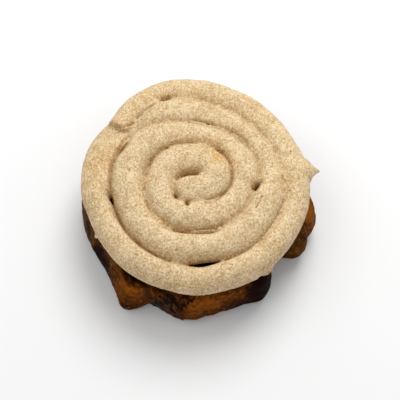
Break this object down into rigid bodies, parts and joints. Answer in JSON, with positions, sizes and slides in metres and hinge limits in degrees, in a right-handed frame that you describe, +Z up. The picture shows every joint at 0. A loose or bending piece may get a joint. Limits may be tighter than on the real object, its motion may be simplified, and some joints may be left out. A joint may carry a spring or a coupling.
{
  "type": "frosted cinnamon roll",
  "caption": "Round frosted cinnamon roll: baked dough wound in a coil round a cinnamon filling, under a thick spiral of piped, speckled frosting.",
  "frame": {"origin": "centre of the bounding box, at the flat bottom", "axes": "+Z up out of the frosting; +X to the lobe of dough that stands out furthest; -Y to the side with the filling's bare smear"},
  "size_m": [0.1029, 0.1036, 0.0422],
  "materials": {
    "baked_dough": "browned baked dough",
    "cinnamon_filling": "dark, slightly glossy cinnamon and sugar",
    "cinnamon_frosting": "soft satin frosting with fine cinnamon specks"
  },
  "bodies": {
    "root": {"dough_roll": "baked_dough", "cinnamon_filling": "cinnamon_filling", "frosting": "cinnamon_frosting"}
  },
  "joints": []
}
